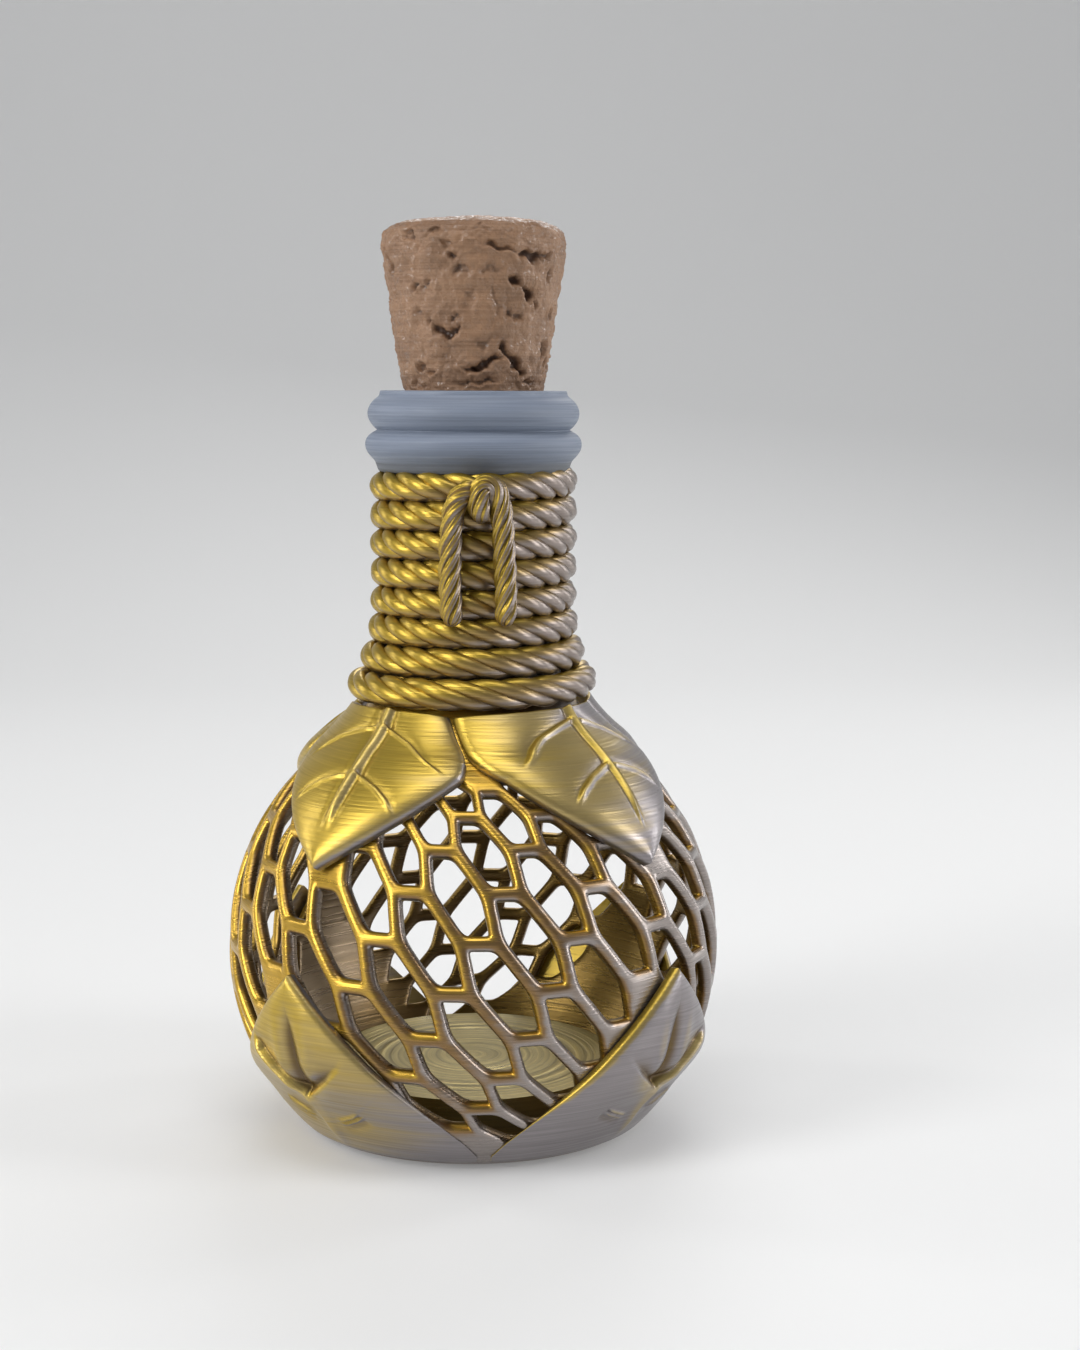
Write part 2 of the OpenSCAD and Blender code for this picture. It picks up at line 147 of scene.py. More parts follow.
# Each lamp's place, width, height and power in watts
soft_lamp("lamp_left", (-0.62, -0.38, 0.42), 0.30, 0.60, 3.6)
soft_lamp("lamp_right", (0.70, -0.22, 0.30), 0.22, 0.55, 2.4)
soft_lamp("lamp_top", (-0.05, -0.25, 0.85), 0.55, 0.40, 2.2)
soft_lamp("lamp_back", (0.15, 0.60, 0.50), 0.50, 0.30, 1.4)
soft_lamp("lamp_edge_left", (-0.62, 0.22, 0.26), 0.10, 0.50, 0.9)
soft_lamp("lamp_edge_right", (0.60, 0.26, 0.26), 0.10, 0.50, 0.9)

bpy.context.scene.view_settings.view_transform = "Standard"

# Honeycomb globe: a thin round shell printed in two-tone silk filament, pierced all round
# with six-sided openings. The rows turn a little from one to the next, and the struts
# between the openings are rounded over.
globe_r = 0.040
globe_wall = 0.0022
globe_z = 0.0294
globe_middle = (0, 0, globe_z)
shell_top_z = 0.06156
foot_top_z = 0.0032
widest_strut = 0.00215
strut_taper = 0.6
strut_round = 0.00072
inside_round = 0.6
round_places, round_shares = (0, 0.25, 0.5, 0.75, 1), (0, 0.04, 0.14, 0.40, 1)
corner_run, corner_share = 0.00260, 0.34

# The top and bottom sides of an opening are its bars. Corners within bar_band of them, in
# radians, are drawn in by bar_extra more than the rest.
bar_extra, bar_band = 0.00012, 0.0125

# The net's rows and columns, in degrees: the rows lie on lines that fan out from a point
# above the globe's middle, and each row is turned a little further than the one above it
columns = 32
column_turn = 360 / columns
first_ring, last_ring = -5, 8
rings = last_ring - first_ring + 2
ring_step = 180 / rings
row_start, row_turn, row_twist = 4.3, 5, 0.13
fan_z, fan_slope, fan_step = 0.012, 0.112, 0.188
highest_row = 52.2
half_bar = 4.1

# The leaves' outlines, in degrees, and how far the openings reach in under their edges
leaf_half = 44.4
upper_tip, upper_full = 25.5, 53.5
lower_tip, lower_full = 3.4, -42
under_upper, under_lower = 9, 7


def azimuth_at(row, column):
    return row_start + column * column_turn + row * row_turn + row * row * row_twist


def free_latitude(row):
    slope = fan_slope - fan_step * row
    spread = 1 + slope**2
    reach = math.sqrt((fan_z * slope) ** 2 + spread * (globe_r**2 - fan_z**2)) - fan_z * slope
    reach /= spread
    return math.degrees(math.atan2(fan_z + slope * reach, reach))


def latitude_at(row):
    if row == first_ring:
        return math.degrees(math.asin((shell_top_z - globe_z) / globe_r))
    if row == last_ring:
        return math.degrees(math.asin((foot_top_z - globe_z) / globe_r))
    return min(highest_row, free_latitude(row))


def half_strut(row):
    room_here = free_latitude(row - 1) - free_latitude(row + 1)
    most_room = free_latitude(0) - free_latitude(2)
    return widest_strut / 2 * (room_here / most_room) ** strut_taper


def on_globe(azimuth, latitude):
    turn, rise = math.radians(azimuth), math.radians(latitude)
    level_r = globe_r * math.cos(rise)
    height = globe_z + globe_r * math.sin(rise)
    return Vector((level_r * math.sin(turn), -level_r * math.cos(turn), height))


def upper_leaf_half(latitude):
    return leaf_half * np.clip((latitude - upper_tip) / (upper_full - upper_tip), 0, 1) ** 1.02


def lower_leaf_half(latitude):
    return leaf_half * np.clip((lower_tip - latitude) / (lower_tip - lower_full), 0, 1) ** 0.97


def is_opening(row, column):
    beside = abs(azimuth_at(row, column) % 90 - 45)
    upper_edge = upper_leaf_half(latitude_at(row)) - under_upper
    lower_edge = lower_leaf_half(latitude_at(row)) - under_lower
    return beside > upper_edge and beside > lower_edge


bpy.ops.mesh.primitive_uv_sphere_add(segments=columns, ring_count=rings, radius=globe_r)
cage = bpy.context.object
cage.name = "honeycomb_globe"
bpy.ops.object.mode_set(mode="EDIT")
bpy.ops.mesh.select_mode(type="VERT")
bpy.ops.mesh.select_all(action="DESELECT")
net = bmesh.from_edit_mesh(cage.data)
for corner in net.verts:
    corner.select = math.hypot(corner.co.x, corner.co.y) < 1e-6
bmesh.update_edit_mesh(cage.data)
bpy.ops.mesh.delete(type="VERT")

# Each ring of the ball becomes a row: its corners pair up into the bars of that row
net = bmesh.from_edit_mesh(cage.data)
row_mark = net.verts.layers.int.new("row")
column_mark = net.verts.layers.int.new("column")
rim_mark = net.verts.layers.float.new("rim")
open_mark = net.faces.layers.int.new("open")
for corner in net.verts:
    from_pole = 90 - math.degrees(math.asin(corner.co.z / globe_r))
    row = round(from_pole / ring_step) + first_ring - 1
    turn = math.degrees(math.atan2(corner.co.x, -corner.co.y))
    column = round(turn / column_turn) % columns
    corner[row_mark], corner[column_mark] = row, column
    if (row + column) % 2 == 0:
        azimuth = azimuth_at(row, column) - half_bar
    else:
        azimuth = azimuth_at(row, column - 1) + half_bar
    corner.co = on_globe(azimuth, latitude_at(row))


def left_column(pair):
    low, high = sorted(pair)
    return high if (low, high) == (0, columns - 1) else low


bpy.ops.mesh.select_mode(type="EDGE")
bpy.ops.mesh.select_all(action="DESELECT")
for edge in net.edges:
    row = edge.verts[0][row_mark]
    if row == edge.verts[1][row_mark] and first_ring + 1 < row < last_ring - 1:
        column = left_column([corner[column_mark] for corner in edge.verts])
        edge.select = (row + column) % 2 == 1
bmesh.update_edit_mesh(cage.data)
bpy.ops.mesh.dissolve_edges(use_verts=False)

# The six-sided faces in the windows between the leaves are marked as openings, and every
# edge gets a point near each end, which keeps the sides straight and the corners round
net = bmesh.from_edit_mesh(cage.data)
for face in net.faces:
    if len(face.verts) == 6:
        across = sorted(face.verts, key=lambda corner: corner[row_mark])[2:4]
        row = across[0][row_mark]
        if is_opening(row, left_column([corner[column_mark] for corner in across])):
            face[open_mark] = row - first_ring
for edge in list(net.edges):
    start, end = edge.verts
    length = edge.calc_length()
    run = min(corner_run, corner_share * length)
    rest = bmesh.utils.edge_split(edge, start, run / length)[0]
    longer = edge if end in edge.verts else rest
    bmesh.utils.edge_split(longer, end, run / longer.calc_length())
bmesh.update_edit_mesh(cage.data)


def pick_marked(mark):
    bpy.ops.mesh.select_all(action="DESELECT")
    net = bmesh.from_edit_mesh(cage.data)
    open_mark = net.faces.layers.int["open"]
    for face in net.faces:
        face.select = face[open_mark] == mark
    bmesh.update_edit_mesh(cage.data)


# One row at a time, each opening is drawn in by half of that row's strut, and its bars by
# a little more. Then all the openings are taken out.
bpy.ops.mesh.select_mode(type="FACE")
taken_out = -1
for row in range(first_ring + 1, last_ring):
    pick_marked(row - first_ring)
    bpy.ops.mesh.inset(thickness=half_strut(row), use_even_offset=True, use_individual=True)
    net = bmesh.from_edit_mesh(cage.data)
    open_mark = net.faces.layers.int["open"]
    rim_mark = net.verts.layers.float["rim"]
    for face in [face for face in net.faces if face.select]:
        face[open_mark] = taken_out
        rises = [math.asin((corner.co.z - globe_z) / globe_r) for corner in face.verts]
        for corner, rise in zip(face.verts, rises):
            corner[rim_mark] = 1
            outward = (corner.co - Vector(globe_middle)).normalized()
            north = (Vector((0, 0, 1)) - outward * outward.z).normalized()
            if rise > max(rises) - bar_band:
                corner.co -= north * bar_extra
            elif rise < min(rises) + bar_band:
                corner.co += north * bar_extra
    bmesh.update_edit_mesh(cage.data)
pick_marked(taken_out)
bpy.ops.mesh.delete(type="FACE")
bpy.ops.mesh.select_all(action="SELECT")
bpy.ops.mesh.normals_make_consistent(inside=False)
bpy.ops.object.mode_set(mode="OBJECT")


def finish_modifier(piece, kind, **settings):
    made = piece.modifiers.new(kind.lower(), kind)
    for name, value in settings.items():
        setattr(made, name, value)
    bpy.context.view_layer.objects.active = piece
    bpy.ops.object.modifier_apply(modifier=made.name)


def corner_places(mesh):
    places = np.zeros(len(mesh.vertices) * 3)
    mesh.vertices.foreach_get("co", places)
    return places.reshape(-1, 3)


# A sheet is doubled into two skins joined at their edges. The answer says which corners
# are the second skin's.
def thicken(piece):
    bpy.ops.object.mode_set(mode="EDIT")
    bpy.ops.mesh.select_mode(type="VERT")
    bpy.ops.mesh.select_all(action="SELECT")
    bpy.ops.mesh.extrude_region()
    bpy.ops.object.mode_set(mode="OBJECT")
    second_skin = np.zeros(len(piece.data.vertices), bool)
    piece.data.vertices.foreach_get("select", second_skin)
    return second_skin


def close_up(piece):
    bpy.ops.object.mode_set(mode="EDIT")
    bpy.ops.mesh.select_all(action="SELECT")
    bpy.ops.mesh.normals_make_consistent(inside=False)
    bpy.ops.object.mode_set(mode="OBJECT")
    bpy.ops.object.shade_smooth()
    bpy.ops.object.select_all(action="DESELECT")


# The net is smoothed, doubled into a wall, thrown back onto the globe, and rounded over
# towards the rims of its openings, less on the inside
finish_modifier(cage, "SUBSURF", levels=2, render_levels=2)
inner = thicken(cage)
rim = np.zeros(len(cage.data.vertices))
cage.data.attributes["rim"].data.foreach_get("value", rim)
middle = np.array(globe_middle)
ray = corner_places(cage.data) - middle
ray /= np.linalg.norm(ray, axis=1)[:, None]
drop = strut_round * np.interp(rim, round_places, round_shares)
reach = np.where(inner, globe_r - globe_wall + inside_round * drop, globe_r - drop)
cage.data.vertices.foreach_set("co", (middle + ray * reach[:, None]).ravel())
close_up(cage)


def blended(tree, share, first, second, how="MIX"):
    made = put(tree, "ShaderNodeMix", {
        0: share, 6: first, 7: second,
    }, data_type="RGBA", blend_type=how)
    return made.outputs[2]


def between(tree, value, low, high, to_low=0.0, to_high=1.0, how="SMOOTHSTEP"):
    return put(tree, "ShaderNodeMapRange", {
        "Value": value, "From Min": low, "From Max": high, "To Min": to_low, "To Max": to_high,
    }, interpolation_type=how).outputs[0]


def speckle(tree, place, stretch, detail=2.0):
    spread = put(tree, "ShaderNodeMapping", {"Vector": place, "Scale": stretch})
    return put(tree, "ShaderNodeTexNoise", {
        "Vector": spread.outputs[0], "Scale": 1.0, "Detail": detail,
    }).outputs[0]


def bumped(tree, height, strength, depth=0.0002):
    return put(tree, "ShaderNodeBump", {
        "Height": height, "Strength": strength, "Distance": depth,
    }).outputs[0]


def distance_from(tree, point):
    place = put(tree, "ShaderNodeTexCoord").outputs["Object"]
    return put(tree, "ShaderNodeVectorMath", {
        0: place, 1: point,
    }, operation="DISTANCE").outputs["Value"]


# A finish's colour so far is covered by another one, by a share that changes over it
def tint(finish, share, tone, how="MIX"):
    tree = finish.node_tree
    color = tree.nodes["Principled BSDF"].inputs["Base Color"]
    tree.links.new(blended(tree, share, color.links[0].from_socket, tone, how), color)


def new_effect(name, inputs, outputs):
    group = bpy.data.node_groups.new(name, "ShaderNodeTree")
    for title, kind in inputs.items():
        group.interface.new_socket(title, in_out="INPUT", socket_type=kind)
    for title, kind in outputs.items():
        group.interface.new_socket(title, in_out="OUTPUT", socket_type=kind)
    return group, put(group, "NodeGroupInput"), put(group, "NodeGroupOutput")


# Silk filament is drawn from two colours side by side, so what faces up and left is gold,
# what faces down and right is silver, with bronze between them, and level layer lines run
# through all three. Lean moves the whole piece towards gold.
gold_side = (-0.80, -0.10, 0.59)
two_tone_silk, silk_in, silk_out = new_effect(
    "two_tone_silk",
    {"Gold": "NodeSocketColor", "Bronze": "NodeSocketColor", "Silver": "NodeSocketColor",
     "Lean": "NodeSocketFloat"},
    {"Color": "NodeSocketColor", "Roughness": "NodeSocketFloat", "Height": "NodeSocketFloat"})
silk_place = put(two_tone_silk, "ShaderNodeTexCoord").outputs
silk_turn = put(two_tone_silk, "ShaderNodeVectorMath", {
    0: silk_place["Normal"], 1: gold_side,
}, operation="DOT_PRODUCT").outputs["Value"]
silk_bands = speckle(two_tone_silk, silk_place["Object"], (26, 26, 900), 3.0)
silk_lines = speckle(two_tone_silk, silk_place["Object"], (60, 60, 3400))
silk_waver = between(two_tone_silk, silk_bands, 0.2, 0.8, -0.13, 0.13, "LINEAR")
silk_side = combined(two_tone_silk, "ADD", silk_turn, silk_waver)
silk_side = combined(two_tone_silk, "ADD", silk_side, silk_in.outputs["Lean"])
silk_low = between(two_tone_silk, silk_side, -0.34, 0.08)
silk_high = between(two_tone_silk, silk_side, 0.08, 0.58)
silk_tone = blended(
    two_tone_silk, silk_low, silk_in.outputs["Silver"], silk_in.outputs["Bronze"])
silk_tone = blended(two_tone_silk, silk_high, silk_tone, silk_in.outputs["Gold"])
silk_shade = between(two_tone_silk, silk_lines, 0.25, 0.75, 0.80, 1.10, "LINEAR")
plug(two_tone_silk, silk_out, {
    "Color": blended(two_tone_silk, 1.0, silk_tone, silk_shade, "MULTIPLY"),
    "Roughness": between(two_tone_silk, silk_lines, 0.25, 0.75, 0.44, 0.30, "LINEAR"),
    "Height": silk_lines,
})


def silk_finish(name, gold, bronze, silver, lean, relief, softer):
    finish, tree, face = new_finish(name)
    silk = put(tree, "ShaderNodeGroup", {
        "Gold": (*gold, 1), "Bronze": (*bronze, 1), "Silver": (*silver, 1), "Lean": lean,
    }, node_tree=two_tone_silk)
    plug(tree, face, {
        "Base Color": silk.outputs["Color"],
        "Roughness": combined(tree, "ADD", silk.outputs["Roughness"], softer),
        "Normal": bumped(tree, silk.outputs["Height"], relief),
        "Metallic": 0.82,
        "Coat Weight": 0.15,
        "Coat Roughness": 0.25,
    })
    return finish


# The shell is painted darker from its outside to its inside, as painted shade within the globe
unshaded_depth, dark_depth = 0.0006, 0.0017
shell_silk = silk_finish(
    "shell_silk", gold=(0.54, 0.33, 0.04), bronze=(0.25, 0.15, 0.06),
    silver=(0.33, 0.29, 0.27), lean=-0.06, relief=0.35, softer=-0.07)
shell_tree = shell_silk.node_tree
shell_inside_shade = between(
    shell_tree, distance_from(shell_tree, globe_middle),
    globe_r - dark_depth, globe_r - unshaded_depth, 0.75, 0.0)
# Painted shade: the inner face of the wall is darkened towards deep bronze.
tint(shell_silk, shell_inside_shade, (0.15, 0.095, 0.03, 1))
cage.data.materials.append(shell_silk)
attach(cage, "bottle")
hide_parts("globe_cage")

# Foot, raised floor and shoulder: the closed parts of the same print. They keep their
# shapes from the model. The foot and the shoulder take the shell's finish, and the floor
# a paler one that shows the ring-shaped lines of its fill.
ring_middle = (0, 0, 0.009)
rings_per_metre = 900.0
floor_silk = silk_finish(
    "floor_silk", gold=(0.52, 0.41, 0.15), bronze=(0.42, 0.34, 0.17),
    silver=(0.42, 0.36, 0.24), lean=0.2, relief=0.35, softer=-0.04)
floor_tree = floor_silk.node_tree
floor_far = combined(
    floor_tree, "MULTIPLY", distance_from(floor_tree, ring_middle), rings_per_metre)
floor_rings = put(floor_tree, "ShaderNodeTexNoise", {
    "W": floor_far, "Detail": 4.0, "Scale": 1.0,
}, noise_dimensions="1D").outputs[0]
floor_shade = between(floor_tree, floor_rings, 0.3, 0.7, 0.55, 1.15, "LINEAR")
tint(floor_silk, 1.0, floor_shade, "MULTIPLY")
plug(floor_tree, floor_tree.nodes["Principled BSDF"], {
    "Normal": bumped(floor_tree, floor_rings, 0.5, 0.0003),
})
for node, finish in (
        ("foot_dish", shell_silk), ("neck_shoulder", shell_silk), ("floor_plinth", floor_silk)):
    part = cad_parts[node]
    part.data.materials.clear()
    part.data.materials.append(finish)

# Upper leaves: four thick leaves that hang over the shoulder from under the rope, each with
# a raised midrib and crisp side veins. They are printed with the shell and lie on it.
mm = 0.001
shoulder_r = 0.030
neck_r = 0.01163
hollow_r = neck_r + shoulder_r
hollow_z = globe_z + math.sqrt((globe_r + shoulder_r) ** 2 - hollow_r**2)
join_angle = math.asin((hollow_z - globe_z) / (globe_r + shoulder_r))
join_run = globe_r * join_angle
rope_r = 0.00225
rope_gap = 0.0003
rope_pitch = 0.00455
rope_turns = 8
rope_top_z = 0.10365
rope_lift = 0.0004
rope_foot_azimuth = -128.2
rope_underside = 0.00195
root_off = 0.003405
root_swirl = 14
tip_lean = 2.8
upper_length = 34
upper_tip_run = math.radians(upper_tip) * globe_r


def rope_height(azimuth):
    wave = 0.9 * np.sin(np.radians(azimuth)) / (2 * math.pi)
    return rope_top_z + rope_pitch * (azimuth / 360 - wave)


# Radius and height of the bottle's outline, by the run along it from the globe's widest
# level, at a distance off from it. It goes over the globe and up the shoulder's hollow.
def outline_r(run, off):
    bend = join_angle - (run - join_run) / shoulder_r
    on_shell = (globe_r + off) * np.cos(run / globe_r)
    on_shoulder = hollow_r - (shoulder_r - off) * np.cos(bend)
    return np.where(run < join_run, on_shell, on_shoulder)


def outline_z(run, off):
    bend = join_angle - (run - join_run) / shoulder_r
    on_shell = globe_z + (globe_r + off) * np.sin(run / globe_r)
    on_shoulder = hollow_z - (shoulder_r - off) * np.sin(bend)
    return np.where(run < join_run, on_shell, on_shoulder)


# Where the root of an upper leaf ends, just under the lowest turn of the rope
def root_run(azimuth):
    lowest_turn = np.maximum(azimuth, rope_foot_azimuth) - 360 * (rope_turns - 1)
    root_z = rope_height(lowest_turn) - rope_underside - rope_gap + rope_lift
    bend = np.arcsin((hollow_z - root_z) / (shoulder_r - root_off))
    return join_run + shoulder_r * (join_angle - bend)


def round_axis(r, turn, z):
    return np.stack([r * np.sin(turn), -r * np.cos(turn), z], axis=1)


def smooth(value, low, high):
    share = np.clip((value - low) / (high - low), 0, 1)
    return share * share * (3 - 2 * share)


def domed(edge, reach):
    return np.sqrt(1 - (1 - np.clip(edge / reach, 0, 1)) ** 2)


# Distance from a vein drawn as a line of points, positive on its root side, and the share
# of the vein's length that the nearest point lies at
def from_vein(x, y, line):
    line = np.array(line, float)
    steps = np.diff(line, axis=0)
    lengths = np.linalg.norm(steps, axis=1)
    start = np.concatenate([[0], np.cumsum(lengths)])
    nearest = np.full(x.shape, 1e9)
    side = np.zeros(x.shape)
    share = np.zeros(x.shape)
    for i, (step, length) in enumerate(zip(steps, lengths)):
        over, up = x - line[i, 0], y - line[i, 1]
        held = np.clip((over * step[0] + up * step[1]) / length**2, 0, 1)
        gap = np.hypot(over - held * step[0], up - held * step[1])
        nearer = gap < nearest
        nearest = np.where(nearer, gap, nearest)
        side = np.where(nearer, np.sign(step[0] * up - step[1] * over), side)
        share = np.where(nearer, (start[i] + held * length) / start[-1], share)
    return nearest * np.where(side == 0, 1, side), share


# A side vein: a low ridge with a trough on its root side, fading out along its length
def vein_height(x, y, line, ridge, trough, width, fade):
    gap, share = from_vein(x, y, line)
    strength = np.where(np.abs(gap) < 4, 1 - smooth(share, fade, 1.0), 0)
    up = ridge * np.exp(-(((gap + 0.9 * width) / width) ** 2))
    beyond = np.maximum(0, gap - 0.4 * width)
    down = trough * smooth(gap, -0.5 * width, 0.4 * width) * np.exp(-beyond / (2.2 * width))
    return strength * (up - down)


# A blank is a flat sheet of two skins. Each leaf is a copy of it, laid on the bottle. Its
# columns crowd towards the leaf's edges, and its rows towards the tip.
edge_crowd = 1.15
bpy.ops.mesh.primitive_grid_add(x_subdivisions=200, y_subdivisions=150, size=2)
leaf_blank = bpy.context.object
leaf_blank.name = "leaf_blank"
blank_top = thicken(leaf_blank)
blank_flat = corner_places(leaf_blank.data)
leaf_across = np.sin(blank_flat[:, 0] * edge_crowd) / math.sin(edge_crowd)
leaf_down = (blank_flat[:, 1] + 1) / 2
leaf_share = 0.006 + 0.994 * leaf_down**1.2
leaf_lift = 0.02 + 0.7 * (1 - leaf_share) ** 3

leaf_silk = silk_finish(
    "leaf_silk", gold=(0.53, 0.365, 0.05), bronze=(0.44, 0.33, 0.13),
    silver=(0.29, 0.265, 0.27), lean=-0.14, relief=0.30, softer=-0.02)
leaf_tree = leaf_silk.node_tree
leaf_crease = put(leaf_tree, "ShaderNodeAttribute", attribute_name="crease").outputs["Fac"]
# Painted shade darkens the leaves' valleys and a painted highlight lightens their ridges, both by
# their relief.
tint(leaf_silk, between(leaf_tree, leaf_crease, 0.0, -0.8, 0.0, 0.85), (0.13, 0.08, 0.025, 1))
tint(leaf_silk, between(leaf_tree, leaf_crease, 0.08, 0.45, 0.0, 0.35), (0.74, 0.56, 0.18, 1))


# How far a point lies in from the leaf's edge and tip, and the thickness there, in mm
def edge_reach(width, y):
    return np.minimum((1 - np.abs(leaf_across)) * width * 0.72, y * 0.8 + 0.15)


def leaf_thickness(edge, lip, lip_reach, dome_reach, crown):
    return (0.75 + lip * domed(edge, lip_reach) + 0.75 * domed(edge, dome_reach)
            + crown * (1 - leaf_across**2) * np.clip(leaf_share / 0.33, 0, 1) ** 0.5)


def lay_leaf(name, node, run, azimuth, top, detail):
    off = (leaf_lift + np.where(blank_top, top, 0)) * mm
    places = round_axis(outline_r(run, off), np.radians(azimuth), outline_z(run, off))
    leaf = leaf_blank.copy()
    leaf.data = leaf_blank.data.copy()
    leaf.name = name
    bpy.context.collection.objects.link(leaf)
    leaf.data.vertices.foreach_set("co", places.ravel())
    # The relief is kept on the top skin for the leaf finish's painted shade and highlight.
    crease = leaf.data.attributes.new("crease", "FLOAT", "POINT")
    crease.data.foreach_set("value", np.where(blank_top, detail, 0).astype(np.float32))
    bpy.context.view_layer.objects.active = leaf
    leaf.select_set(True)
    close_up(leaf)
    leaf.data.materials.append(leaf_silk)
    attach(leaf, "bottle")
    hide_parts(node)


# The side veins of an upper leaf, in mm from its midrib and from its tip
upper_veins = (
    [(0.2, 16.7), (2.2, 15.9), (5.0, 14.6), (7.4, 12.9), (9.0, 11.3), (9.9, 10.1)],
    [(0.5, 26.6), (3.3, 25.3), (6.8, 23.4), (9.6, 21.1), (12.2, 18.9), (14.2, 17.3)],
)


def upper_leaf(place, azimuth, lean, rib_bow, vein_drop, rib_wide, vein_wide):
    top_run = root_run(np.array(0.0))
    swirl_start = min(join_run, top_run) - 3 * mm
    root_azimuth = azimuth + leaf_across * leaf_half - root_swirl * np.abs(leaf_across)
    run = upper_tip_run + (root_run(root_azimuth) - upper_tip_run) * leaf_share
    half = upper_leaf_half(np.degrees(run / globe_r))
    swirl = root_swirl * np.maximum(0, (run - swirl_start) / (top_run - swirl_start))
    waist = 1 - 0.035 * np.exp(-(((run - join_run) / (1.5 * mm)) ** 2))
    turn = leaf_across * half * waist - swirl * np.abs(leaf_across)
    around = azimuth + turn + lean * tip_lean * (1 - half / leaf_half)
    width = outline_r(run, 0) * np.radians(half) / mm
    y = (run - upper_tip_run) / mm
    x = leaf_across * width - rib_bow * np.sin(math.pi * np.clip(y / upper_length, 0, 1))
    beside = np.abs(x)
    edge = edge_reach(width, y)
    thick = leaf_thickness(edge, lip=0.45, lip_reach=0.9, dome_reach=3.4, crown=1.0)
    rib_half = 0.20 + 0.34 * smooth(y, 8, 28)
    rib_reach = (rib_half + 0.42) * rib_wide
    ridge = 0.70 * np.exp(-(beside / rib_reach) ** 2.6)
    grooves = 0.22 * np.exp(-(((beside - 1.7 * rib_reach) / (0.8 * rib_reach)) ** 2))
    rib = smooth(y, 5.0, 12.0) * (ridge - grooves)
    veins = sum(
        vein_height(beside, y + vein_drop, line, ridge=0.40, trough=0.42, width=vein_wide, fade=0.60)
        for line in upper_veins)
    veins = veins * smooth(beside, 0.5 * rib_half, rib_half + 0.5)
    detail = (rib + veins) * domed(edge, 0.9)
    lay_leaf("leaf_upper_" + place, "upper_leaf_" + place, run, around, thick + detail, detail)


upper_leaf(
    "front_left", -45, lean=1, rib_bow=1.2, vein_drop=1.2, rib_wide=1.0, vein_wide=0.28)
upper_leaf(
    "front_right", 45, lean=-1, rib_bow=0, vein_drop=0, rib_wide=0.45, vein_wide=0.42)
upper_leaf(
    "rear_right", 135, lean=1, rib_bow=0.8, vein_drop=0.8, rib_wide=1.0, vein_wide=0.32)
upper_leaf(
    "rear_left", -135, lean=-1, rib_bow=0, vein_drop=0, rib_wide=0.75, vein_wide=0.36)

# Lower leaves: four leaves that stand up from the foot round the globe, printed with it.
# Each is hollowed along its middle below the tip. Under that a forked fold rises to both
# sides, with a narrow slit below each arm, and the leaf thins out towards the foot.
lower_foot = -44
lower_tip_run = math.radians(lower_tip) * globe_r
lower_end_run = math.radians(lower_foot) * globe_r
lower_fork = [(0.0, 18.8), (2.4, 17.2), (4.8, 15.2), (7.3, 12.9), (9.2, 10.6)]
lower_slit = [(2.2, 25.8), (4.2, 25.0), (6.4, 23.8), (8.4, 22.4)]


# A fold: the leaf lies low on the tip side of the line and steps up on its root side
def fold_height(x, y, line, drop, crest, width, fade):
    gap, share = from_vein(x, y, line)
    strength = np.where(np.abs(gap) < 7, 1 - smooth(share, fade, 1.0), 0)
    low = -drop * np.exp(-np.abs(gap) / (1.3 * width))
    step = -drop + (drop + crest) * smooth(gap, 0, width)
    beyond = crest * np.exp(-np.maximum(0, gap - width) / (2.6 * width))
    return strength * np.where(gap < 0, low, np.where(gap < width, step, beyond))


# A slit: a narrow cut between two raised edges, with a shallow hollow on its root side
def slit_height(x, y, line):
    gap, share = from_vein(x, y, line)
    edges = 0.62 * np.exp(-((np.abs(gap) - 0.42) / 0.26) ** 2)
    cut = 0.55 * np.exp(-((gap / 0.22) ** 2))
    hollow = 0.45 * np.exp(-(((gap - 1.3) / 0.8) ** 2))
    height = (edges - cut - hollow) * smooth(share, 0.0, 0.3) * (1 - smooth(share, 0.7, 1.0))
    return np.where(np.abs(gap) < 4, height, 0)


def lower_leaf(place, azimuth, outer_side):
    run = lower_tip_run + (lower_end_run - lower_tip_run) * leaf_share
    half = lower_leaf_half(np.degrees(run / globe_r))
    half = half * (1 - 0.035 * smooth(leaf_share, 0.82, 1.0))
    width = outline_r(run, 0) * np.radians(half) / mm
    x = leaf_across * width * outer_side
    y = (lower_tip_run - run) / mm
    beside = np.abs(x)
    edge = edge_reach(width, y)
    thick = leaf_thickness(edge, lip=0.30, lip_reach=0.8, dome_reach=2.6, crown=0.55)
    thick = thick * (1 - 0.88 * smooth(leaf_share, 0.40, 0.78))
    dish = 0.40 * np.exp(-(((beside - 2.6) / 1.4) ** 2)) - 1.35 * np.exp(-beside / 1.0)
    dish_span = smooth(y, 3, 12) * (1 - smooth(y, 17.5, 20.5))
    ridge_span = smooth(y, 18.5, 21) * (1 - smooth(y, 27, 34))
    rib = dish_span * dish + ridge_span * 0.65 * np.exp(-(beside / 1.1) ** 1.4)
    outer_fold = fold_height(x, y, lower_fork, drop=0.95, crest=0.75, width=0.80, fade=0.75)
    inner_fold = fold_height(-x, y, lower_fork, drop=1.35, crest=0.45, width=1.10, fade=0.12)
    fork = np.where(x > 0, outer_fold, inner_fold)
    detail = (rib + fork + slit_height(beside, y, lower_slit)) * domed(edge, 0.8)
    detail = detail * (1 - 0.25 * leaf_share)
    lay_leaf("leaf_lower_" + place, "lower_leaf_" + place, run, azimuth + leaf_across * half,
             np.maximum(thick + detail, 0.12), detail)


lower_leaf("front_left", -45, outer_side=-1)
lower_leaf("front_right", 45, outer_side=1)
lower_leaf("rear_right", 135, outer_side=-1)
lower_leaf("rear_left", -135, outer_side=1)
bpy.data.objects.remove(leaf_blank)
